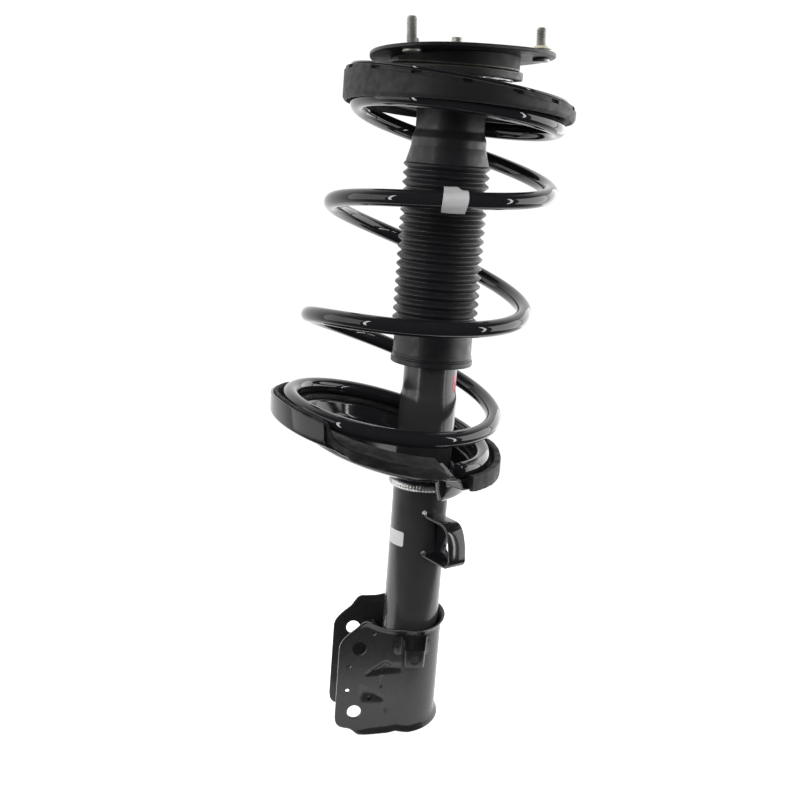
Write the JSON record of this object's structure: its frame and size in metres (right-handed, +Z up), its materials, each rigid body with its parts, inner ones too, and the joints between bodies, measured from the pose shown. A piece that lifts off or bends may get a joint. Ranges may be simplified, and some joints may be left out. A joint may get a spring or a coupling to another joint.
{
  "type": "suspension strut assembly",
  "caption": "Front suspension strut: twin-tube damper, coil spring on offset seats, bellows boot, swivelling three-stud top mount and two-bolt knuckle bracket",
  "frame": {"origin": "centre of the damper tube's bottom end face", "axes": "+Z up along the damper rod, -X towards the edge of the knuckle ears, whose faces are square to Y; the hose bracket faces -Y"},
  "size_m": [0.2331, 0.2017, 0.6072],
  "materials": {
    "tube": "semi-gloss black paint",
    "gloss": "gloss black powder coat",
    "satin": "satin black dip paint",
    "matt_black": "matt black paint",
    "black_steel": "black phosphated steel",
    "boot": "satin black moulded plastic",
    "rubber": "matt charcoal rubber",
    "pad": "rough dark grey rubber",
    "foam": "cellular polyurethane",
    "zinc": "dull zinc plating",
    "retainer": "pale yellow zinc plating",
    "steel": "bare machined steel",
    "chrome": "hard chrome, polished",
    "alloy": "sintered iron",
    "band": "bronze-filled PTFE"
  },
  "bodies": {
    "strut_body": {"strut_tube": "tube", "tube_base_cap": "tube", "pressure_tube": "steel", "base_valve": "steel", "rod_guide": "alloy", "oil_seal": "rubber", "tube_top_cap": "black_steel", "lower_spring_seat": "gloss", "lower_seat_pad": "pad", "knuckle_bracket": "satin", "knuckle_reinforcement": "satin", "hose_bracket": "satin", "link_bracket": "satin"},
    "spring_top": {"upper_spring_seat": "gloss", "upper_seat_pad": "rubber", "bearing_lower_race": "steel", "coil_spring": "gloss", "dust_boot": "boot"},
    "top_mount": {"piston_rod": "chrome", "piston": "steel", "piston_band": "band", "piston_nut": "steel", "rebound_stop": "rubber", "bump_stop": "foam", "bump_stop_cup": "black_steel", "bearing_upper_race": "zinc", "mount_shell": "matt_black", "mount_rubber": "rubber", "mount_core": "steel", "mount_plate": "matt_black", "mount_stud_1": "zinc", "mount_stud_2": "zinc", "mount_stud_3": "zinc", "stud_retainer": "retainer", "rod_washer": "zinc", "rod_nut": "zinc"},
    "bearing_cage": {"bearing_balls": "steel"}
  },
  "joints": [
    {"name": "strut_travel", "type": "slide", "parent": "strut_body", "child": "spring_top", "axis": [0, 0, 1], "range_m": [-0.14, 0], "stiffness_N_per_m": 18000, "springref_m": 0.05, "deforming": ["coil_spring", "dust_boot"]},
    {"name": "steer_swivel", "type": "hinge", "parent": "spring_top", "child": "top_mount", "pos_m": [0, 0, 0.5531], "axis": [0, 0, 1], "range_deg": [-40, 40]},
    {"name": "cage_roll", "type": "hinge", "parent": "spring_top", "child": "bearing_cage", "pos_m": [0, 0, 0.5531], "axis": [0, 0, 1], "range_deg": [-20, 20]}
  ],
  "couplings": [
    {"joint": "cage_roll", "follows": "steer_swivel", "ratio": 0.5}
  ]
}
